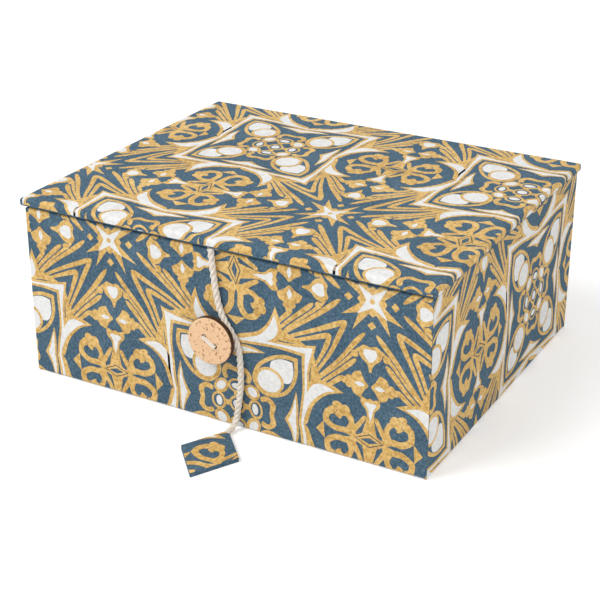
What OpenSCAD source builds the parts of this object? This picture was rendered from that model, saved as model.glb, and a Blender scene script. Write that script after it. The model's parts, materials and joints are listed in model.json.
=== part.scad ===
// Keepsake box of rigid board covered in printed paper, with a paper-hinged lid,
// a sewn button on the front and a cord that hooks behind it and ends in a tag.
// Millimetres. +Z is up, the front faces -Y, and the origin is the centre of the underside.

/* [Box] */
// Width of the box body over its paper, left to right
box_w = 200; // [150:1:260]
// Depth of the box body over its paper, front to back
box_d = 164; // [120:1:220]
// Height of the box body, from the table to the rim
box_h = 82; // [66:1:120]

/* [Board and paper] */
// Thickness of the wall and bottom boards
board_t = 2.4; // [1.6:0.1:3.2]
// Thickness of the outer paper with its paste
paper_t = 0.4; // [0.3:0.05:0.5]
// Width of the paper turned in under the box and under the lid
turn_in = 15; // [10:1:25]
// Depth of the paper folded over the rim and down the inside
rim_turn = 15; // [10:1:25]
// Outer radius of a fold in the paper round a board's edge
fold_r = 1; // [0.8:0.1:1.2]
// Distance of the base paper's edge from the edge of the box
base_inset = 2; // [1.5:0.5:6]

/* [Lining] */
// Thickness of the lining cards on the walls, the floor and the lid
lining_t = 0.8; // [0.5:0.1:1.2]
// Distance from the rim down to the top edge of the wall linings
lining_drop = 4; // [2:0.5:8]
// Distance of the lid lining's edge from the outside of the walls
lid_lining_inset = 1.4; // [1.2:0.1:1.8]

/* [Lid] */
// Thickness of the lid board
lid_board_t = 3.2; // [2.4:0.1:4]
// Overhang of the lid at the front and both sides
lid_over = 1.5; // [0.5:0.1:3]
// Outer radius of the soft fold round the lid's top edges
lid_fold_r = 1.4; // [1:0.1:1.6]
// Width of each leaf of the inner hinge strip
hinge_leaf = 25; // [18:1:40]

/* [Button] */
// Diameter of the button
button_d = 22; // [18:0.5:26]
// Thickness of the button
button_t = 3; // [2:0.1:4]
// Radius of the button's rounded edges
button_edge = 0.8; // [0.3:0.1:1]
// Height of the button's centre above the table
button_z = 42; // [36:0.5:50]
// Space between the button and the front paper, where the cord is tucked
button_gap = 3.3; // [3.2:0.1:4.5]
// Diameter of each sewing hole in the button
hole_d = 2.4; // [2:0.1:3]
// Distance between the centres of the two sewing holes
hole_pitch = 6.2; // [5:0.1:9]
// Tilt of the line through the two holes, seen from the front
hole_tilt = -32; // [-90:1:90]
// Diameter of the sewing thread
thread_d = 1.2; // [0.8:0.1:1.4]
// Diameter of the thread's knot inside the box
knot_d = 2.8; // [2:0.1:4]

/* [Cord and tag] */
// Diameter of the twisted cord
cord_d = 3; // [2.5:0.1:3]
// Length of the cord's end that is glued flat under the lid
tail_l = 12; // [8:1:14]
// Width of that flattened end
tail_w = 5; // [3:0.5:8]
// Length of the diamond tag from corner to corner
tag_l = 38; // [28:1:48]
// Width of the diamond tag from corner to corner
tag_w = 27; // [18:1:34]
// Thickness of each of the tag's two cards
tag_card = 1; // [0.6:0.1:1.2]
// Turn of the tag on the table away from the straight forward direction
tag_turn = 7; // [-30:1:30]

/* [Hidden] */
$fn = 48;
clear = 0.02;                                  // flat pieces that lie on each other
hole_room = 0.1;                               // round the thread in the wall
strand_slack = 0.1;                            // a strand under tension against a resting one
tail_t = 0.6;                                  // the cord's end, pressed flat
notch_side = 0.5;                              // each side of the cord's end in the lid lining
cord_sides = 8;

wall_t = board_t + 2*paper_t;                  // board with the paper on both faces
base_z = paper_t;                              // underside of the turned-in paper
board_z = base_z + paper_t;                    // underside of the boards
floor_z = board_z + board_t;                   // top of the bottom board
in_w = box_w - 2*(paper_t + board_t);          // between the side boards
in_d = box_d - 2*(paper_t + board_t);          // between the front and back boards
board_r = fold_r - paper_t;                    // edge of a board inside a fold

lid_z = box_h + lining_t;                      // underside of the lid's turned-in paper
lid_in_z = lid_z + paper_t;                    // underside of the lid board
lid_top = lid_in_z + lid_board_t + paper_t;
lid_w = box_w + 2*lid_over;
lid_front = -box_d/2 - lid_over;
lid_d = box_d + lid_over;
hinge_z = box_h + lining_t/2;                  // height of the crease, at the back face

button_y = -box_d/2 - button_gap;              // back face of the button
hole_step = hole_pitch/2*[cos(hole_tilt), 0, sin(hole_tilt)];

// Centre line of the cord from the lid to the top of its bend: across, out from the front, up
CORD_ROUTE = [
    [-1, 1.65, 82.8], [-0.6, 1.65, 78], [0, 1.65, 72], [0.8, 1.65, 66], [1.8, 1.65, 60],
    [3.2, 1.65, 55], [5.2, 1.65, 50.8], [7.8, 1.65, 47.2], [10, 1.65, 43.6],
    [11.4, 1.65, 40], [12.2, 1.65, 35.5], [12.6, 1.65, 29], [12.4, 1.65, 22],
    [11.6, 1.65, 15], [10.4, 1.65, 7.5]
];
cord_bend = 6;                                 // radius of the bend onto the table
foot_l = 2;                                    // straight end of the cord at the tag
cord_lie = 1.5;                                // height of the cord's centre line on the table
BEND_STEPS = [22.5, 45, 67.5, 90];
cord_last = CORD_ROUTE[len(CORD_ROUTE) - 1];
FOOT_ROUTE = concat(
    [cord_last],
    [for (a = BEND_STEPS) [
        cord_last[0] - 0.6*a/90,
        cord_last[1] + cord_bend*(1 - cos(a)),
        cord_lie + cord_bend*(1 - sin(a))
    ]],
    [[cord_last[0] - 0.6, cord_last[1] + cord_bend + foot_l, cord_lie]]
);
tag_at = FOOT_ROUTE[len(FOOT_ROUTE) - 1];
tag_nose = cord_d;                             // width of the tag's blunt corner at the cord
tag_gap = 0.25;                                // between that corner and the end of the cord

// Flat shape from low to high with each corner rounded by its own radius,
// corners in the order low left, low right, high right, high left
module rounded(low, high, r) {
    corners = [
        [low, [1, 1], r[0]],
        [[high[0], low[1]], [-1, 1], r[1]],
        [high, [-1, -1], r[2]],
        [[low[0], high[1]], [1, -1], r[3]]
    ];
    difference() {
        translate(low) square(high - low);
        for (c = corners) {
            if (c[2] > 0) translate(c[0]) mirror([c[1][0] < 0 ? 1 : 0, 0]) mirror([0, c[1][1] < 0 ? 1 : 0])
                difference() {
                    translate([-1, -1]) square(c[2] + 1);
                    translate([c[2], c[2]]) circle(c[2]);
                }
        }
    }
}

// A wall's section, drawn inward from its outer face and upward, run along that wall.
// turn is 0 for the front, 90 for the right, 180 for the back and 270 for the left.
module along_wall(turn, run) {
    reach = turn % 180 == 0 ? box_d/2 : box_w/2;
    rotate([0, 0, turn]) translate([-run/2, -reach, 0]) rotate([90, 0, 90]) linear_extrude(run) children();
}

// The same, with its ends cut at 45 degrees so that neighbours meet in a mitre
module mitred_wall(turn) {
    run = turn % 180 == 0 ? box_w : box_d;
    reach = turn % 180 == 0 ? box_d/2 : box_w/2;
    deep = max(turn_in, hinge_leaf) + 1;
    intersection() {
        along_wall(turn, run) children();
        rotate([0, 0, turn]) translate([0, -reach, -1]) linear_extrude(lid_top + 2)
            polygon([[-run/2, 0], [run/2, 0], [run/2 - deep, deep], [deep - run/2, deep]]);
    }
}

// Section of a wall board; the back board has a square top, under the hinge
module board_section(top_r) {
    rounded([paper_t, board_z], [paper_t + board_t, box_h - paper_t], [board_r, 0, top_r[0], top_r[1]]);
}

// Section of the paper round a wall: under the box, up the outside, over the rim and down inside
module wrap_section() {
    difference() {
        rounded([0, base_z], [wall_t, box_h], [fold_r, 0, fold_r, fold_r]);
        board_section([board_r, board_r]);
        translate([paper_t + board_t, base_z - 1]) square([wall_t, box_h - rim_turn - base_z + 1]);
        translate([turn_in, 0]) square([1, 1]);
    }
    translate([paper_t + board_t, base_z]) square([turn_in - paper_t - board_t, paper_t]);
}

// Section of the back paper, which runs on up to the crease instead of over the rim
module back_section() {
    difference() {
        rounded([0, base_z], [turn_in, hinge_z], [fold_r, 0, 0, 0]);
        board_section([0, 0]);
        translate([paper_t, board_z + board_r]) square([turn_in, hinge_z]);
        translate([paper_t + board_t, board_z]) square([turn_in, hinge_z]);
    }
}

// Section of the strip pasted down the inside of the back wall, over its rim and up to the crease
module hinge_section() {
    difference() {
        rounded([paper_t, box_h - hinge_leaf], [wall_t, box_h], [0, 0, fold_r, 0]);
        board_section([board_r, 0]);
        square([paper_t + board_t, box_h - paper_t - board_r]);
    }
    translate([paper_t, box_h - clear]) square([paper_t, hinge_z - box_h + clear]);
}

// Section of a wall lining: a card from the floor board nearly up to the rim.
// It is pressed against the board below the paper that is turned down inside.
module lining_section(turned) {
    card_top = box_h - lining_drop;
    difference() {
        translate([paper_t + board_t, floor_z]) square([paper_t + lining_t, card_top - floor_z]);
        translate([0, box_h - turned]) square([wall_t, turned]);
    }
}

// The two strands of thread run through every layer between the face of the button and the inside
module sewing_holes(d) {
    for (s = [-1, 1]) translate([0, -box_d/2 + 2*wall_t, button_z] + s*hole_step)
        rotate([90, 0, 0]) cylinder(d = d, h = 4*wall_t + button_gap + button_t);
}

module bottom_board() {
    color("tan") translate([-in_w/2, -in_d/2, board_z]) cube([in_w, in_d, board_t]);
}

module front_board() {
    color("tan") difference() {
        along_wall(0, box_w - 2*paper_t) board_section([board_r, board_r]);
        sewing_holes(thread_d + 2*hole_room);
    }
}

module back_board() {
    color("tan") along_wall(180, box_w - 2*paper_t) board_section([board_r, 0]);
}

module side_board(turn) {
    color("tan") along_wall(turn, in_d) board_section([board_r, board_r]);
}

module front_paper() {
    color("steelblue") difference() {
        mitred_wall(0) wrap_section();
        sewing_holes(thread_d + 2*hole_room);
    }
}

module side_paper(turn) {
    color("steelblue") mitred_wall(turn) wrap_section();
}

module back_paper() {
    color("steelblue") mitred_wall(180) back_section();
}

// A sheet over the turned-in edges, pressed up against the board between them
module base_paper() {
    w = box_w - 2*base_inset;
    d = box_d - 2*base_inset;
    open_w = box_w - 2*turn_in;
    open_d = box_d - 2*turn_in;
    color("slategray") {
        translate([-w/2, -d/2, 0]) cube([w, d, paper_t]);
        translate([-open_w/2, -open_d/2, 0]) cube([open_w, open_d, 2*paper_t]);
    }
}

module long_lining(turn, turned) {
    color("ivory") along_wall(turn, in_w - 2*paper_t - 2*lining_t) lining_section(turned);
}

module front_lining() {
    difference() {
        long_lining(0, rim_turn);
        sewing_holes(thread_d + 2*hole_room);
    }
}

module side_lining(turn) {
    color("ivory") along_wall(turn, in_d - 2*paper_t) lining_section(rim_turn);
}

module floor_lining() {
    w = in_w - 2*paper_t - 2*lining_t;
    d = in_d - 2*paper_t - 2*lining_t;
    color("ivory") translate([-w/2, -d/2, floor_z]) cube([w, d, lining_t]);
}

module inner_hinge_wall() {
    color("ivory") mitred_wall(180) hinge_section();
}

module button() {
    color("burlywood") difference() {
        translate([0, button_y, button_z]) rotate([90, 0, 0]) rotate_extrude($fn = 96)
            rounded([0, 0], [button_d/2, button_t], [0, button_edge, button_edge, 0]);
        sewing_holes(hole_d);
    }
}

// A stitch that lies across the two holes, flattened where it is pulled tight
module stitch(y) {
    translate([0, y, button_z]) rotate([0, -hole_tilt, 0])
        cube([hole_pitch + thread_d, thread_d, thread_d], center = true);
}

module button_thread() {
    face_y = button_y - button_t - thread_d/2 - clear;
    inside_y = -box_d/2 + wall_t + lining_t + thread_d/2 + clear;
    strand_d = thread_d - strand_slack;
    color("white") {
        stitch(face_y);
        stitch(inside_y);
        for (s = [-1, 1]) translate([0, inside_y, button_z] + s*hole_step)
            rotate([90, 0, 0]) cylinder(d = strand_d, h = inside_y - face_y);
        translate([0, inside_y, button_z] + hole_step)
            rotate([-90, 0, 0]) cylinder(d = knot_d, h = knot_d - thread_d/2);
    }
}

// The lid board, or with the paper's thickness added, the outside of the covered lid.
// The rounding across and along are cut from each other, so the corners meet in a mitre.
module lid_form(skin, r) {
    front = lid_front + paper_t - skin;
    back = box_d/2 - paper_t + skin;
    half = lid_w/2 - paper_t + skin;
    low = lid_in_z - skin;
    high = lid_top - paper_t + skin;
    under_r = board_r + skin;
    intersection() {
        translate([-half, 0, 0]) rotate([90, 0, 90]) linear_extrude(2*half)
            rounded([front, low], [back, high], [under_r, 0, r, r]);
        translate([0, back, 0]) rotate([90, 0, 0]) linear_extrude(back - front)
            rounded([-half, low], [half, high], [under_r, under_r, r, r]);
    }
}

module lid_board() {
    color("tan") lid_form(0, lid_fold_r - paper_t);
}

// One sheet over the lid, turned in at the front and sides, and down the back to the crease
module lid_cover() {
    open_w = lid_w - 2*turn_in;
    color("steelblue") {
        difference() {
            lid_form(paper_t, lid_fold_r);
            lid_form(0, lid_fold_r - paper_t);
            translate([-open_w/2, lid_front + turn_in, lid_z - 1])
                cube([open_w, lid_d - turn_in - paper_t, 1 + paper_t]);
        }
        translate([-box_w/2, box_d/2 - paper_t, hinge_z]) cube([box_w, paper_t, lid_in_z - hinge_z]);
    }
}

// The other leaf of that strip, from the crease up and forward under the lid board
module inner_hinge_lid() {
    w = lid_w - 2*turn_in;
    color("ivory") {
        translate([-w/2, box_d/2 - hinge_leaf, lid_z]) cube([w, hinge_leaf - paper_t, paper_t]);
        translate([-w/2, box_d/2 - 2*paper_t, hinge_z]) cube([w, paper_t, lid_in_z - hinge_z]);
    }
}

// A card that rests on the rim, pressed up against the lid board between the turned-in edges.
// A notch in its front edge takes the glued end of the cord.
module lid_lining() {
    w = box_w - 2*lid_lining_inset;
    d = box_d - 2*lid_lining_inset;
    open_w = lid_w - 2*turn_in;
    open_front = lid_front + turn_in;
    open_back = box_d/2 - hinge_leaf;
    notch_w = tail_w + 2*notch_side;
    color("ivory") difference() {
        union() {
            translate([-w/2, -d/2, box_h]) cube([w, d, lining_t]);
            translate([-open_w/2, open_front, box_h])
                cube([open_w, open_back - open_front, lining_t + paper_t]);
        }
        translate([CORD_ROUTE[0][0] - notch_w/2, lid_front, box_h - 1])
            cube([notch_w, lid_over + tail_l + notch_side, lining_t + 1]);
    }
}

module cord_tail() {
    from_y = -box_d/2 - CORD_ROUTE[0][1] + cord_d/2*cos(180/cord_sides);
    color("linen") translate([CORD_ROUTE[0][0] - tail_w/2, from_y, lid_z - tail_t])
        cube([tail_w, tail_l - box_d/2 - from_y, tail_t]);
}

// Ring of points square to the route at point i, and a closed tube through all of the rings
function unit(v) = v/norm(v);
function heading(route, i) = unit(route[min(i + 1, len(route) - 1)] - route[max(i - 1, 0)]);
function ring(route, i, dir) =
    let (across = unit(cross([0, 1, 1], dir)), other = cross(dir, across))
    [for (k = [0:cord_sides - 1])
        let (a = 360*(k + 0.5)/cord_sides)
        route[i] + cord_d/2*(cos(a)*across + sin(a)*other)];
function tube_points(route, dirs) = [for (i = [0:len(route) - 1]) each ring(route, i, dirs[i])];

module tube(route, first, last) {
    n = len(route);
    dirs = [for (i = [0:n - 1]) i == 0 ? first : i == n - 1 ? last : heading(route, i)];
    walls = [
        for (i = [0:n - 2]) for (k = [0:cord_sides - 1])
            let (a = i*cord_sides + k, b = i*cord_sides + (k + 1) % cord_sides)
            [a, b, b + cord_sides, a + cord_sides]
    ];
    start = [for (k = [cord_sides - 1:-1:0]) k];
    end = [for (k = [0:cord_sides - 1]) (n - 1)*cord_sides + k];
    polyhedron(tube_points(route, dirs), concat(walls, [start], [end]), convexity = 6);
}

function in_front(route) = [for (p = route) [p[0], -box_d/2 - p[1], p[2]]];

module cord() {
    color("linen") tube(in_front(CORD_ROUTE), [0, 0, -1], [0, 0, -1]);
}

module cord_foot() {
    color("linen") tube(in_front(FOOT_ROUTE), [0, 0, -1], [0, -1, 0]);
}

// One card of the tag, laid on the table with its blunt corner at the end of the cord
module tag(layer) {
    nose = tag_nose/tag_w*tag_l/2;
    translate([tag_at[0], -box_d/2 - tag_at[1], layer*tag_card])
        rotate([0, 0, tag_turn]) linear_extrude(tag_card) polygon([
            [-tag_nose/2, -tag_gap], [-tag_w/2, nose - tag_l/2], [0, nose - tag_l],
            [tag_w/2, nose - tag_l/2], [tag_nose/2, -tag_gap]
        ]);
}

bottom_board();
front_board();
back_board();
side_board(270);  // left_board
side_board(90);  // right_board
front_paper();
back_paper();
side_paper(270);  // left_paper
side_paper(90);  // right_paper
base_paper();
front_lining();
long_lining(180, hinge_leaf);  // back_lining
side_lining(270);  // left_lining
side_lining(90);  // right_lining
floor_lining();
inner_hinge_wall();
button();
button_thread();
lid_board();
lid_cover();
lid_lining();
inner_hinge_lid();
cord_tail();
cord();
cord_foot();
color("cadetblue") tag(1);  // tag_front
color("cadetblue") tag(0);  // tag_back
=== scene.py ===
import json
import math

import bmesh
import bpy
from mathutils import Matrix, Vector

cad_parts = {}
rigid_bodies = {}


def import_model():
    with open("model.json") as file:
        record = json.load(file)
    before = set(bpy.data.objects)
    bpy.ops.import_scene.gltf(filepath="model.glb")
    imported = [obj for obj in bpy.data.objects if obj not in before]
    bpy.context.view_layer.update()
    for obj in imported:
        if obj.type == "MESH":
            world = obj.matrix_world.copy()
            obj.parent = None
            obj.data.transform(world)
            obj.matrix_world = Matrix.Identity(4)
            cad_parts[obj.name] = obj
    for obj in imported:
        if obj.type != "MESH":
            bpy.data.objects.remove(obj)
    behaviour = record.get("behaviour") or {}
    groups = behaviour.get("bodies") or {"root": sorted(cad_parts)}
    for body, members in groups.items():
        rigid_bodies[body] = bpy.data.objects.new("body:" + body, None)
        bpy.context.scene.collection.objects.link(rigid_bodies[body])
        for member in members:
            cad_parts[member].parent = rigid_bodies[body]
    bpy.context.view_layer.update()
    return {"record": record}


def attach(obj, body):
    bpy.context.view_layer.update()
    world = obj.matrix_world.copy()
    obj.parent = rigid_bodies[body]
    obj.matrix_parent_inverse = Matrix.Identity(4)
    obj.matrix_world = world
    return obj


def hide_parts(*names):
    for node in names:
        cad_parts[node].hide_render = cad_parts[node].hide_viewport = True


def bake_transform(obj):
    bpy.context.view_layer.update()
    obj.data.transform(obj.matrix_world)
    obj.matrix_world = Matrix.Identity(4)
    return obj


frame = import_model()
MM = 0.001

# Sizes of the box, in millimetres, as in part.scad
HALF_W, HALF_D = 100.0, 82.0
RIM_Z, LID_TOP = 82.0, 86.8
LID_HALF_W, LID_FRONT = 101.5, -83.5
FOLD_R, LID_FOLD_R = 1.0, 1.4


# Materials
def new_material(name, roughness):
    material = bpy.data.materials.new(name)
    material.use_nodes = True
    shader = material.node_tree.nodes["Principled BSDF"]
    shader.inputs["Roughness"].default_value = roughness
    shader.inputs["Specular IOR Level"].default_value = 0.25
    return material, material.node_tree, shader


def noise(tree, scale, detail=4.0, stretch=(1, 1, 1)):
    coords = tree.nodes.new("ShaderNodeTexCoord")
    mapping = tree.nodes.new("ShaderNodeMapping")
    mapping.inputs["Scale"].default_value = stretch
    texture = tree.nodes.new("ShaderNodeTexNoise")
    texture.inputs["Scale"].default_value = scale
    texture.inputs["Detail"].default_value = detail
    tree.links.new(coords.outputs["Object"], mapping.inputs["Vector"])
    tree.links.new(mapping.outputs["Vector"], texture.inputs["Vector"])
    return texture.outputs["Fac"]


def ramp(tree, fac, stops):
    node = tree.nodes.new("ShaderNodeValToRGB")
    elements = node.color_ramp.elements
    while len(elements) < len(stops):
        elements.new(0.5)
    for element, (at, color) in zip(elements, stops):
        element.position = at
        element.color = (*color, 1)
    tree.links.new(fac, node.inputs["Fac"])
    return node.outputs["Color"]


def blend_colors(tree, fac, a, b):
    node = tree.nodes.new("ShaderNodeMix")
    node.data_type = "RGBA"
    if isinstance(fac, float):
        node.inputs["Factor"].default_value = fac
    else:
        tree.links.new(fac, node.inputs["Factor"])
    tree.links.new(a, node.inputs["A"])
    tree.links.new(b, node.inputs["B"])
    return node.outputs["Result"]


def bump(tree, shader, height, strength, distance):
    node = tree.nodes.new("ShaderNodeBump")
    node.inputs["Strength"].default_value = strength
    node.inputs["Distance"].default_value = distance
    tree.links.new(height, node.inputs["Height"])
    tree.links.new(node.outputs["Normal"], shader.inputs["Normal"])


def paper(name, dark, mid, light, grain=900, roughness=0.85, relief=0.5):
    """Handmade paper or ink on it: a fine mottle over a broad one, with raised fibres."""
    material, tree, shader = new_material(name, roughness)
    fine = ramp(tree, noise(tree, grain, 6), [(0.34, dark), (0.5, mid), (0.68, light)])
    broad = ramp(tree, noise(tree, 60, 3), [(0.3, dark), (0.55, mid), (0.75, light)])
    tree.links.new(blend_colors(tree, 0.3, fine, broad), shader.inputs["Base Color"])
    bump(tree, shader, noise(tree, 420, 8, (1, 1.6, 2.3)), relief, 0.0002)
    return material


BLUE = paper("blue_paper", (0.032, 0.07, 0.108), (0.062, 0.122, 0.175), (0.13, 0.2, 0.26))
GOLD = paper("gold_ink", (0.42, 0.235, 0.06), (0.68, 0.43, 0.135), (0.84, 0.6, 0.26), 800, 0.6)
WHITE = paper("white_ink", (0.66, 0.66, 0.65), (0.76, 0.76, 0.75), (0.84, 0.84, 0.83), 500, 0.9)
INK_LINE = paper("dark_outline", (0.02, 0.03, 0.04), (0.04, 0.06, 0.08), (0.07, 0.1, 0.13))
# Painted shade: the lining's own colour is unseen, and it is made near-black so the gap under the lid reads
# as a dark shadow line
DARK_LINING_FOR_GAP_SHADE = paper("lining", (0.004, 0.006, 0.009), (0.008, 0.011, 0.016), (0.016, 0.021, 0.028), 500)
GREY = paper("greyboard", (0.24, 0.22, 0.19), (0.34, 0.32, 0.28), (0.42, 0.4, 0.36), 700)
PLAIN = paper("base_sheet", (0.05, 0.07, 0.09), (0.08, 0.11, 0.14), (0.13, 0.17, 0.2), 700)
COTTON = paper("cotton", (0.66, 0.59, 0.5), (0.8, 0.735, 0.65), (0.88, 0.83, 0.76), 1500, 0.95)


def coconut():
    """Tan speckled face with a dark edge."""
    material, tree, shader = new_material("coconut", 0.45)
    speckles = [(0.33, (0.3, 0.13, 0.05)), (0.39, (0.78, 0.5, 0.29)), (1, (0.86, 0.6, 0.37))]
    spots = ramp(tree, noise(tree, 900, 2), speckles)
    bark = [(0.3, (0.012, 0.006, 0.004)), (0.7, (0.09, 0.035, 0.015))]
    edge = ramp(tree, noise(tree, 500, 4), bark)
    facing = tree.nodes.new("ShaderNodeNewGeometry")
    split = tree.nodes.new("ShaderNodeSeparateXYZ")
    tree.links.new(facing.outputs["True Normal"], split.inputs["Vector"])
    forward = tree.nodes.new("ShaderNodeMath")
    forward.operation = "ABSOLUTE"
    tree.links.new(split.outputs["Y"], forward.inputs[0])
    face = ramp(tree, forward.outputs[0], [(0.55, (0, 0, 0)), (0.8, (1, 1, 1))])
    tree.links.new(blend_colors(tree, face, edge, spots), shader.inputs["Base Color"])
    bump(tree, shader, noise(tree, 600, 4), 0.2, 0.0001)
    return material


COCONUT = coconut()
FINISHES = {
    "board": GREY,
    "printed_paper": BLUE,
    # The lining's near-black is painted shade for the gap under the lid
    "lining_paper": DARK_LINING_FOR_GAP_SHADE,
    "coconut": COCONUT,
    "thread": COTTON,
    "cotton": COTTON,
    "tag_paper": BLUE,
}
for entry in frame["record"]["subparts"]:
    node = bpy.data.objects[entry["node"]]
    finish = PLAIN if entry["node"] == "base_paper" else FINISHES[entry["material_slot"]]
    node.data.materials.clear()
    node.data.materials.append(finish)

# The printed ornament
# Points are in millimetres from the centre of a star, with u towards the next medallion.
REPEAT = 127.75
HALF = REPEAT / 2
G, W, B, K = 0, 1, 2, 3
INKS = [GOLD, WHITE, BLUE, INK_LINE]
LAYER = 0.018
OVERLAP_STEP, OVERLAP_STEPS = 0.0007, 23
FOLD_CUTS = 4


def hermite(t):
    """Weights of a curve's start, its slope there, its end and the slope there."""
    return (2 * t**3 - 3 * t * t + 1, t**3 - 2 * t * t + t, 3 * t * t - 2 * t**3, t**3 - t * t)


def smooth(points, steps=5):
    """Closed curve through the points; a point with a third number is a sharp corner."""
    out = []
    n = len(points)
    for i in range(n):
        before, a, b, after = (points[(i + k) % n] for k in (-1, 0, 1, 2))
        ma = [0 if len(a) > 2 else (b[k] - before[k]) / 2 for k in (0, 1)]
        mb = [0 if len(b) > 2 else (after[k] - a[k]) / 2 for k in (0, 1)]
        for s in range(steps):
            t = s / steps
            h = hermite(t)
            out.append(tuple(h[0] * a[k] + h[1] * ma[k] + h[2] * b[k] + h[3] * mb[k] for k in (0, 1)))
    return out


def corners(*points):
    """Straight-sided shape."""
    return list(points)


def oval(u, v, ru, rv=None, turn=0.0, n=20):
    rv = ru if rv is None else rv
    c, s = math.cos(math.radians(turn)), math.sin(math.radians(turn))
    angles = [2 * math.pi * k / n for k in range(n)]
    local = [(ru * math.cos(a), rv * math.sin(a)) for a in angles]
    return [(u + x * c - y * s, v + x * s + y * c) for x, y in local]


def stroke(path, widths, steps=6):
    """A band along an open path, as wide as widths says at its points, with round ends."""
    n = len(path)
    left, right = [], []
    for i in range(n):
        a, b = path[max(i - 1, 0)], path[min(i + 1, n - 1)]
        d = Vector((b[0] - a[0], b[1] - a[1])).normalized()
        w = widths[i] / 2
        left.append((path[i][0] - d.y * w, path[i][1] + d.x * w))
        right.append((path[i][0] + d.y * w, path[i][1] - d.x * w))
    return smooth(left + right[::-1], steps)


def spear(root, tip, width):
    """A ray that widens a little towards its blunt tip."""
    d = Vector((tip[0] - root[0], tip[1] - root[1]))
    w = Vector((-d.y, d.x)).normalized() * width / 2
    at = [(0.0, 0.45), (0.5, 0.8), (0.88, 1.0)]
    left = [tuple(Vector(root) + d * t + w * k) for t, k in at]
    right = [tuple(Vector(root) + d * t - w * k) for t, k in at[::-1]]
    return smooth(left + [tuple(tip)] + right, 4)


def star_parts():
    star = []
    for k in range(4):
        for angle, reach in ((0, 6.5), (17, 5.6), (31, 16), (45, 8.2), (59, 16), (73, 5.6)):
            a = math.radians(angle + 90 * k)
            star.append((reach * math.cos(a), reach * math.sin(a)))
    cross = []
    for k in range(8):
        a = math.radians(45 * k)
        reach = 9.2 if k % 2 else 2.6
        cross.append((reach * math.cos(a), reach * math.sin(a)))
    return [(0, G, star), (2, W, cross), (3, G, oval(0, 0, 1.1))]


def axis_parts():
    """Between a star and a medallion, mirrored about the axis."""
    trefoil = [
        (20.2, 0), (19.6, 3), (22.2, 5.4), (25.6, 4.6), (28.4, 1.6), (32, 0.5, 1),
        (32, -0.5, 1), (28.4, -1.6), (25.6, -4.6), (22.2, -5.4), (19.6, -3),
    ]
    heart = [(21.4, 0), (21.6, 2.4), (24, 3), (27, 1), (27, -1), (24, -3), (21.6, -2.4)]
    parts = [
        (1, G, corners((8.3, 0), (10.2, 1.9), (12.1, 0), (10.2, -1.9))),
        (1, G, smooth(trefoil)),
        (2, W, smooth(heart)),
    ]
    for s in (1, -1):
        wing = [
            (38, 0.7 * s), (35.8, 2.6 * s), (32.2, 4.6 * s, 1), (33.6, 8.0 * s),
            (38, 9.2 * s), (42.4, 8.0 * s), (43.8, 4.6 * s, 1), (40.2, 2.6 * s),
        ]
        parts += [
            (1, G, oval(24.6, 7.3 * s, 1.7)),
            (1, G, smooth(wing)),
            (2, W, smooth([(38, 2.2 * s, 1), (36.9, 4.8 * s), (38, 7.4 * s, 1), (39.1, 4.8 * s)])),
            (1, G, oval(36.6, 10.0 * s, 1.5)),
            (1, G, oval(39.4, 10.0 * s, 1.5)),
            (1, G, oval(38, 11.9 * s, 1.6)),
            (1, G, corners((38, 13.9 * s), (38.9, 14.8 * s), (38, 15.7 * s), (37.1, 14.8 * s))),
        ]
    return parts


def medallion_quarter():
    """One quarter, from the medallion's centre: a to the star, b across."""
    ring = [(1.7, 6.4), (2.3, 10.8), (2.4, 15.4), (5.2, 19.6), (9.4, 19.0), (10.4, 16.6)]
    wedge = [(4.4, 20.9, 1), (0, 25, 1), (0, 24.6, 1), (0, 20.9, 1)]
    horn = [
        (0.6, 29.6), (10.0, 26.0), (16.6, 19.8), (19.6, 12.2, 1),
        (22.4, 20.6), (20.6, 27.6), (13, 31.6), (4.0, 32.4),
    ]
    horn_inside = [
        (3.6, 30.8), (10.8, 27.6), (16.8, 21.6), (19.2, 16.2, 1),
        (20.8, 22.2), (18.8, 26.8), (12.4, 30.2),
    ]
    curl = [(3.0, 9.2), (6.6, 8.0), (10.0, 9.6), (10.6, 12.8), (8.3, 14.4)]
    return [
        (2, G, stroke(ring, (3.4, 3.0, 2.9, 3.0, 3.2, 2.6))),
        (2, G, stroke(curl, (2.2, 2.4, 2.7, 2.6, 3.2))),
        (2, G, oval(12.4, 11.2, 2.4, 1.9, 30)),
        (2, G, oval(13.4, 14.8, 2.5, 1.9, 70)),
        (2, G, oval(10.9, 17.2, 2.2, 1.8, 120)),
        (2, G, stroke([(9.4, 12.2), (11.8, 13.4), (12.8, 13.6)], (2.6, 3.2, 2.6))),
        (2, G, stroke([(3.6, 7.2), (6.8, 4.9), (11.2, 2.6)], (2.6, 2.2, 1.6))),
        (2, G, smooth(wedge)),
        (2, G, smooth(horn)),
        (3, W, smooth(horn_inside)),
    ]


def medallion_key():
    key = [(0, 3.6), (4.4, 2.9), (10.6, 1.8), (14.6, 2.1), (17.6, 4.5), (20.6, 4.2), (20.0, 1.4), (20.6, 0)]
    white = [(9.2, 0, 1), (12.6, 0.8), (15.4, 1.3), (17.8, 2.9), (18.6, 1.2), (18.2, 0)]
    return [
        (2, G, smooth(key + [(a, -b) for a, b in key[-2::-1]])),
        (3, W, smooth(white + [(p[0], -p[1]) for p in white[-2:0:-1]])),
    ]


def medallion_centre():
    return [
        (3, G, corners((4.6, 0), (0, 8.6), (-4.6, 0), (0, -8.6))),
        (4, K, corners((3.2, 0), (0, 6.6), (-3.2, 0), (0, -6.6))),
        (5, G, corners((2.7, 0), (0, 5.8), (-2.7, 0), (0, -5.8))),
        (6, B, corners((1.4, 0), (0, 3.9), (-1.4, 0), (0, -3.9))),
    ]


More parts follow.
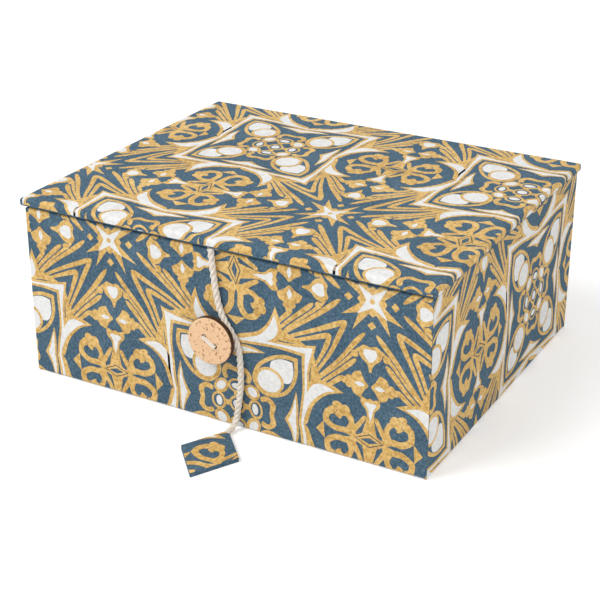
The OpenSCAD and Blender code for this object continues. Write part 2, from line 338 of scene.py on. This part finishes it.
def frame_outline(corner, mid, cusp):
    """Square outline with pinched sides, each with a cusp at its middle."""
    shoulder, waist, flare = corner - 11, 9, 1.2
    side = [
        (corner, corner, 1), (shoulder, mid + flare), (waist, mid),
        (0, cusp, 1), (-waist, mid), (-shoulder, mid + flare),
    ]
    points = []
    for k in range(4):
        c, s = round(math.cos(k * math.pi / 2)), round(math.sin(k * math.pi / 2))
        points += [(p[0] * c - p[1] * s, p[0] * s + p[1] * c, *p[2:]) for p in side]
    return smooth(points, 6)


def frame_rings():
    return [
        (3, G, frame_outline(38.6, 35.2, 33.4)),
        (4, W, frame_outline(37.0, 34.0, 32.4)),
        (5, G, frame_outline(33.6, 32.6, 31.4)),
        (6, B, frame_outline(32.2, 31.4, 30.2)),
        (7, G, oval(0, 0, 4.3)),
        (8, B, oval(0, 0, 3.1)),
        (9, W, oval(0, 0, 2.2)),
    ]


def frame_side():
    """What repeats on each side of a frame, on its +a axis."""
    lens = [
        (28.9, 14.2, 1), (30.2, 7), (30.0, 0), (30.2, -7),
        (28.9, -14.2, 1), (26.6, -5.5), (23.6, 0, 1), (26.6, 5.5),
    ]
    white = [
        (28.6, 11.6, 1), (29.2, 6), (29.0, 0), (29.2, -6),
        (28.6, -11.6, 1), (27.2, -4.5), (25.4, 0, 1), (27.2, 4.5),
    ]
    bracket = [(12.6, 5.6), (15.6, 6.4), (18.2, 4.2), (17.6, 0), (18.2, -4.2), (15.6, -6.4), (12.6, -5.6)]
    return [
        (7, G, smooth(lens)),
        (8, W, smooth(white)),
        (7, G, stroke(bracket, (2.2, 2.5, 2.7, 2.2, 2.7, 2.5, 2.2))),
        (7, G, oval(9.6, 0, 3.6, 4.6)),
        (8, B, oval(9.7, 0, 2.5, 3.3)),
        (9, W, oval(9.4, 0, 1.5, 2.6)),
        (7, G, stroke([(4, 0), (6.6, 0)], (2.2, 2.2))),
    ]


def frame_corner():
    """What repeats in each corner of a frame: s along the diagonal, t across."""
    def diagonal(points):
        r = math.sqrt(0.5)
        return [((s - t) * r, (s + t) * r, *rest) for s, t, *rest in points]
    pod = [
        (43, 0, 1), (38, 5.2), (31, 8.4), (23.5, 9.0), (17, 5.8),
        (15, 0), (17, -5.8), (23.5, -9.0), (31, -8.4), (38, -5.2),
    ]
    inner = [
        (40.4, 0, 1), (36.6, 4.0), (31, 6.6), (24, 7.3), (18.4, 4.6),
        (16.8, 0), (18.4, -4.6), (24, -7.3), (31, -6.6), (36.6, -4.0),
    ]
    outer_bud = [
        (39.4, 0, 1), (35.8, 4.2), (30.6, 6.2), (27.6, 3.6),
        (29.6, 0), (27.6, -3.6), (30.6, -6.2), (35.8, -4.2),
    ]
    return [
        (7, G, smooth(diagonal(pod))),
        (8, B, smooth(diagonal(inner))),
        (9, W, smooth(diagonal(outer_bud))),
        (10, G, smooth(diagonal(oval(22.8, 0, 6.7, 6.9, n=14)), 2)),
        (11, W, smooth(diagonal(oval(22.6, 0, 5.5, 5.7, n=14)), 2)),
        (8, G, smooth(diagonal(oval(11.4, 0, 3.4, 4.2, n=12)), 2)),
        (9, W, smooth(diagonal(oval(11.6, 0, 2.0, 2.8, n=12)), 2)),
    ]


def ray_parts():
    """The sheaf beside a frame's corner; the mirrored half is made by the caller."""
    stem = [
        (27.6, 27, 1), (25.2, 33), (23.4, 38.4), (22.4, 43),
        (24.6, 50, 1), (28.4, 58, 1), (29, 44),
    ]
    slit = [(26.8, 34, 1), (27.6, 44), (28.2, 52, 1), (28.3, 44)]
    parts = [(0, G, smooth(stem)), (1, B, smooth(slit))]
    for tip, root, width in (
        ((2.4, 13.9), (25.2, 42), 2.3), ((6.8, 27.1), (24.4, 44.5), 2.3), ((4.6, 21.0), (24.8, 42.5), 1.5),
        ((12.4, 36.6), (24.2, 47), 2.2), ((11.0, 11.0), (25.6, 40), 2.3), ((18.6, 18.6), (26.2, 37), 2.2),
    ):
        parts.append((0, G, spear(root, tip, width)))
    return parts


def turned(points, k, mirror, at=(0, 0)):
    c, s = round(math.cos(k * math.pi / 2)), round(math.sin(k * math.pi / 2))
    m = -1 if mirror else 1
    return [(at[0] + p[0] * c - m * p[1] * s, at[1] + p[0] * s + m * p[1] * c) for p in points]


def repeat_unit():
    """Everything in one square repeat round the star at 0, 0."""
    unit = list(star_parts())
    for k in range(4):
        unit += [(z, ink, turned(p, k, False)) for z, ink, p in axis_parts()]
        for mirror in (False, True):
            unit += [(z, ink, turned(p, k, mirror)) for z, ink, p in ray_parts()]
    for at, turn in (((HALF, 0), 0), ((0, HALF), 1)):
        unit += [(z, ink, turned(p, turn, False, at)) for z, ink, p in medallion_centre()]
        for half in (0, 2):
            unit += [(z, ink, turned(p, turn + half, False, at)) for z, ink, p in medallion_key()]
            for mirror in (False, True):
                unit += [(z, ink, turned(p, turn + half, mirror, at)) for z, ink, p in medallion_quarter()]
    at = (HALF, HALF)
    unit += [(z, ink, turned(p, 0, False, at)) for z, ink, p in frame_rings()]
    for k in range(4):
        unit += [(z, ink, turned(p, k, False, at)) for z, ink, p in frame_side() + frame_corner()]
    return unit


UNIT = repeat_unit()


def waver(u, v):
    """The slight unevenness of a hand-cut print."""
    slow, quick = 0.35, 0.2
    across = slow * math.sin(u / 6.1 + v / 9.7) + quick * math.sin(v / 3.3)
    along = slow * math.sin(v / 5.3 - u / 8.9 + 1)
    return (u + across, v + along)


def cut(bm, at, normal, clear):
    geom = bm.verts[:] + bm.edges[:] + bm.faces[:]
    bmesh.ops.bisect_plane(bm, geom=geom, dist=1e-7, plane_co=at, plane_no=normal, clear_outer=clear)


def touches(shape, low, high):
    """Whether the shape's own box meets the sheet's."""
    return all(
        min(p[k] for p in shape) < high[k] and max(p[k] for p in shape) > low[k] for k in (0, 1)
    )


def printed(name, body, star, low, high, place, folds=(), clips=()):
    """The ink on one sheet, low to high in its own u and v, folded at each fold and cut by each clip.

    star is a star's centre, and place takes u, v and the height over the sheet to the box.
    A fold is its axis, its sign, where it starts and its radius.
    """
    bm = bmesh.new()
    steps = int((max(high[0] - low[0], high[1] - low[1]) + REPEAT) / REPEAT) + 1
    for i in range(-steps, steps + 1):
        for j in range(-steps, steps + 1):
            base = (star[0] + REPEAT * i, star[1] + REPEAT * j)
            if not all(low[k] - REPEAT < base[k] < high[k] + REPEAT for k in (0, 1)):
                continue
            for index, (layer, ink, points) in enumerate(UNIT):
                here = [waver(base[0] + p[0], base[1] + p[1]) for p in points]
                if not touches(here, low, high):
                    continue
                area = sum(a[0] * b[1] - b[0] * a[1] for a, b in zip(here, here[1:] + here[:1]))
                ordered = here if area > 0 else here[::-1]
                height = LAYER * (1 + layer) + OVERLAP_STEP * (index % OVERLAP_STEPS)
                verts = [bm.verts.new((p[0], p[1], height)) for p in ordered]
                bm.faces.new(verts).material_index = ink
    bm.normal_update()
    bmesh.ops.triangulate(bm, faces=bm.faces[:])
    bm.normal_update()
    bmesh.ops.reverse_faces(bm, faces=[f for f in bm.faces if f.normal.z < 0])
    for k in (0, 1):
        for end, sign in ((low, -1), (high, 1)):
            normal = [0, 0, 0]
            normal[k] = sign
            cut(bm, (end[0], end[1], 0), normal, True)
    for at, normal in clips:
        cut(bm, (*at, 0), (*normal, 0), True)
    for axis, sign, start, r in folds:
        normal = [0, 0, 0]
        normal[axis] = sign
        for part in range(FOLD_CUTS + 1):
            point = [0, 0, 0]
            point[axis] = sign * (start + r * math.pi / 2 * part / FOLD_CUTS)
            cut(bm, point, normal, False)

    def over(co):
        return [sign * co[axis] - start for axis, sign, start, r in folds]
    bad = [f for f in bm.faces if sum(t > 1e-6 for t in over(f.calc_center_median())) > 1]
    bmesh.ops.delete(bm, geom=bad, context="FACES")
    for v in bm.verts:
        h = v.co.z
        for (axis, sign, start, r), t in zip(folds, over(v.co)):
            if t > 0:
                angle = min(t / r, math.pi / 2)
                v.co[axis] = sign * (start + (r + h) * math.sin(angle))
                v.co.z = (r + h) * math.cos(angle) - r - max(0, t - r * math.pi / 2)
        v.co = Vector(place(*v.co)) * MM
    mesh = bpy.data.meshes.new(name)
    bm.to_mesh(mesh)
    bm.free()
    for ink in INKS:
        mesh.materials.append(ink)
    obj = bpy.data.objects.new(name, mesh)
    bpy.context.scene.collection.objects.link(obj)
    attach(obj, body)
    return obj


PAPER_T = 0.4
INK_OVER = 0.2
wall_folds = [(1, -1, -(PAPER_T + FOLD_R), FOLD_R), (1, 1, RIM_Z - FOLD_R, FOLD_R)]
wall_low, wall_high = -INK_OVER, RIM_Z + INK_OVER
crease_z = 82.3
printed("front_print", "box", (-54.3, 74.8), (-HALF_W, wall_low), (HALF_W, wall_high),
        lambda u, v, w: (u, -HALF_D - w, v), wall_folds)
printed("right_print", "box", (-31.4, 38 + HALF), (-HALF_D, wall_low), (HALF_D, wall_high),
        lambda u, v, w: (HALF_W + w, u, v), wall_folds)
printed("left_print", "box", (20.0, 60.0), (-HALF_D, wall_low), (HALF_D, wall_high),
        lambda u, v, w: (-HALF_W - w, -u, v), wall_folds)
printed("back_print", "box", (-27.9, 89.0), (-HALF_W, wall_low), (HALF_W, crease_z),
        lambda u, v, w: (-u, HALF_D + w, v), wall_folds[:1])
lid_reach = 3.8
lid_folds = [
    (0, 1, LID_HALF_W - LID_FOLD_R, LID_FOLD_R),
    (0, -1, LID_HALF_W - LID_FOLD_R, LID_FOLD_R),
    (1, 1, HALF_D - LID_FOLD_R, LID_FOLD_R),
    (1, -1, -LID_FRONT - LID_FOLD_R, LID_FOLD_R),
]
edge_u = LID_HALF_W - LID_FOLD_R + lid_reach
printed("lid_print", "lid", (27.9, -32.9),
        (-edge_u, LID_FRONT + LID_FOLD_R - lid_reach), (edge_u, HALF_D - LID_FOLD_R + lid_reach),
        lambda u, v, w: (u, v, LID_TOP + w), lid_folds)

# The tag, laid on the table
TAG_L, TAG_W, TAG_TOP, TAG_TURN = 38.0, 27.0, 2.0, 7.0
CORD_D = 3.0
tag_at = Vector((9.8, -91.65))
tag_turn = math.radians(TAG_TURN)
tag_along = Vector((math.sin(tag_turn), -math.cos(tag_turn)))
tag_across = Vector((math.cos(tag_turn), math.sin(tag_turn)))
nose = CORD_D / TAG_W * TAG_L / 2
tag_clips = [
    ((su * TAG_L / 2, 0), (su * TAG_W / 2, sv * TAG_L / 2)) for sv in (1, -1) for su in (1, -1)
]


def tag_place(u, v, w):
    p = tag_at + tag_along * (TAG_L / 2 - nose + u) + tag_across * v
    return (p.x, p.y, TAG_TOP + w)


printed("tag_print", "tag", (8.0 - HALF, 14.0), (nose - TAG_L / 2, -TAG_W / 2), (TAG_L / 2, TAG_W / 2),
        tag_place, clips=tag_clips)

# The cord, with the route of part.scad: across, out from the front, up
ROUTE = [
    (-1, 82.8), (-0.6, 78), (0, 72), (0.8, 66), (1.8, 60), (3.2, 55), (5.2, 50.8), (7.8, 47.2),
    (10, 43.6), (11.4, 40), (12.2, 35.5), (12.6, 29), (12.4, 22), (11.6, 15), (10.4, 7.5),
]
CORD_OUT, BEND_R, FOOT, LIE, DRIFT = 1.65, 6.0, 2.0, 1.5, 0.6
cord_y = -HALF_D - CORD_OUT
line = [Vector((x, cord_y, z)) for x, z in ROUTE]
last_x = ROUTE[-1][0]
for degrees in (22.5, 45, 67.5, 90):
    a = math.radians(degrees)
    line.append(Vector((
        last_x - DRIFT * degrees / 90,
        cord_y - BEND_R * (1 - math.cos(a)),
        LIE + BEND_R * (1 - math.sin(a)),
    )))
line.append(Vector((last_x - DRIFT, cord_y - BEND_R - FOOT, LIE)))
# The upper and the lower piece of the cord meet behind the button's edge
SPLIT = 8


def fine_line(points, step=0.4):
    """Closely spaced points on a smooth curve through the route."""
    out = []
    n = len(points)
    for i in range(n - 1):
        before, a, b, after = points[max(i - 1, 0)], points[i], points[i + 1], points[min(i + 2, n - 1)]
        count = max(2, int((b - a).length / step))
        for s in range(count):
            h = hermite(s / count)
            out.append(a * h[0] + (b - before) / 2 * h[1] + b * h[2] + (after - a) / 2 * h[3])
    return out + [points[-1]]


def twisted(name, points, phase, pitch=9.0):
    """Three strands twisted round the line; returns the piece and the twist it ends with."""
    strand_r = CORD_D / 2 * 0.53
    offset = CORD_D / 2 - strand_r
    sides = 8
    verts, faces = [], []
    for strand in range(3):
        angle = phase + strand * 2 * math.pi / 3
        for i, p in enumerate(points):
            if i:
                angle += 2 * math.pi * (p - points[i - 1]).length / pitch
            d = (points[min(i + 1, len(points) - 1)] - points[max(i - 1, 0)]).normalized()
            x = Vector((1, 0, 0))
            x = (x - d * x.dot(d)).normalized()
            y = d.cross(x)
            centre = p + (x * math.cos(angle) + y * math.sin(angle)) * offset
            lumps = 1 + 0.05 * math.sin(i * 1.7 + strand)
            start = len(verts)
            for k in range(sides):
                a = 2 * math.pi * k / sides
                verts.append((centre + (x * math.cos(a) + y * math.sin(a)) * strand_r * lumps) * MM)
            if i:
                for k in range(sides):
                    after = (k + 1) % sides
                    faces.append((start - sides + k, start - sides + after, start + after, start + k))
        first = len(verts) - sides * len(points)
        faces.append(tuple(first + k for k in range(sides))[::-1])
        faces.append(tuple(len(verts) - sides + k for k in range(sides)))
    mesh = bpy.data.meshes.new(name)
    mesh.from_pydata(verts, [], faces)
    mesh.materials.append(COTTON)
    for polygon in mesh.polygons:
        polygon.use_smooth = True
    obj = bpy.data.objects.new(name, mesh)
    bpy.context.scene.collection.objects.link(obj)
    total = sum((b - a).length for a, b in zip(points, points[1:]))
    return obj, phase + 2 * math.pi * total / pitch, total * MM


upper_line, lower_line = fine_line(line[:SPLIT + 1]), fine_line(line[SPLIT:])
upper, twist, upper_length = twisted("cord_upper", upper_line, 0.4)
lower, _, lower_length = twisted("cord_lower", lower_line, twist)
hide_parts("cord")
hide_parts("cord_foot")
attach(upper, "hanging_cord")
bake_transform(lower)


# The table, the lights and the camera
def plane(name, size):
    mesh = bpy.data.meshes.new(name)
    h = size / 2
    mesh.from_pydata([(-h, -h, 0), (h, -h, 0), (h, h, 0), (-h, h, 0)], [], [(0, 1, 2, 3)])
    obj = bpy.data.objects.new(name, mesh)
    bpy.context.scene.collection.objects.link(obj)
    return obj


def seen_directly(tree):
    path = tree.nodes.new("ShaderNodeLightPath")
    glossy = tree.nodes.new("ShaderNodeMath")
    glossy.operation = "MAXIMUM"
    tree.links.new(path.outputs["Is Camera Ray"], glossy.inputs[0])
    tree.links.new(path.outputs["Is Glossy Ray"], glossy.inputs[1])
    return glossy.outputs[0]


floor = plane("table", 12.0)
material, tree, shader = new_material("table", 0.9)
shader.inputs["Base Color"].default_value = (0.86, 0.86, 0.86, 1)
shader.inputs["Emission Color"].default_value = (1, 1, 1, 1)
gain = tree.nodes.new("ShaderNodeMath")
gain.operation = "MULTIPLY"
gain.inputs[1].default_value = 0.3
tree.links.new(seen_directly(tree), gain.inputs[0])
tree.links.new(gain.outputs[0], shader.inputs["Emission Strength"])
floor.data.materials.append(material)

world = bpy.data.worlds.new("studio")
bpy.context.scene.world = world
world.use_nodes = True
background = world.node_tree.nodes["Background"]
background.inputs["Color"].default_value = (1, 1, 1, 1)
strength = world.node_tree.nodes.new("ShaderNodeMath")
strength.operation = "MULTIPLY_ADD"
strength.inputs[1].default_value = 0.38
strength.inputs[2].default_value = 0.62
world.node_tree.links.new(seen_directly(world.node_tree), strength.inputs[0])
world.node_tree.links.new(strength.outputs[0], background.inputs["Strength"])


def softbox(name, at, size, power):
    light = bpy.data.lights.new(name, "AREA")
    light.size = size
    light.energy = power
    obj = bpy.data.objects.new(name, light)
    obj.location = at
    obj.rotation_euler = (Vector((0, 0, 0.04)) - Vector(at)).to_track_quat("-Z", "Y").to_euler()
    bpy.context.scene.collection.objects.link(obj)


softbox("key", (-0.7, -0.9, 1.3), 0.9, 17)
softbox("side", (1.4, -0.3, 0.8), 1.0, 5)

AZIMUTH, ELEVATION, DISTANCE, LENS = 29.24, 25.08, 0.6838, 86.64
target = Vector((-0.0013, -0.007, 0.028))
az, el = math.radians(AZIMUTH), math.radians(ELEVATION)
back = Vector((math.sin(az) * math.cos(el), -math.cos(az) * math.cos(el), math.sin(el)))
camera = bpy.data.objects.new("camera", bpy.data.cameras.new("camera"))
camera.data.lens = LENS
camera.data.sensor_width = 36
camera.location = target + back * DISTANCE
camera.rotation_euler = back.to_track_quat("Z", "Y").to_euler()
bpy.context.scene.collection.objects.link(camera)
bpy.context.scene.camera = camera
bpy.context.scene.view_settings.view_transform = "Standard"
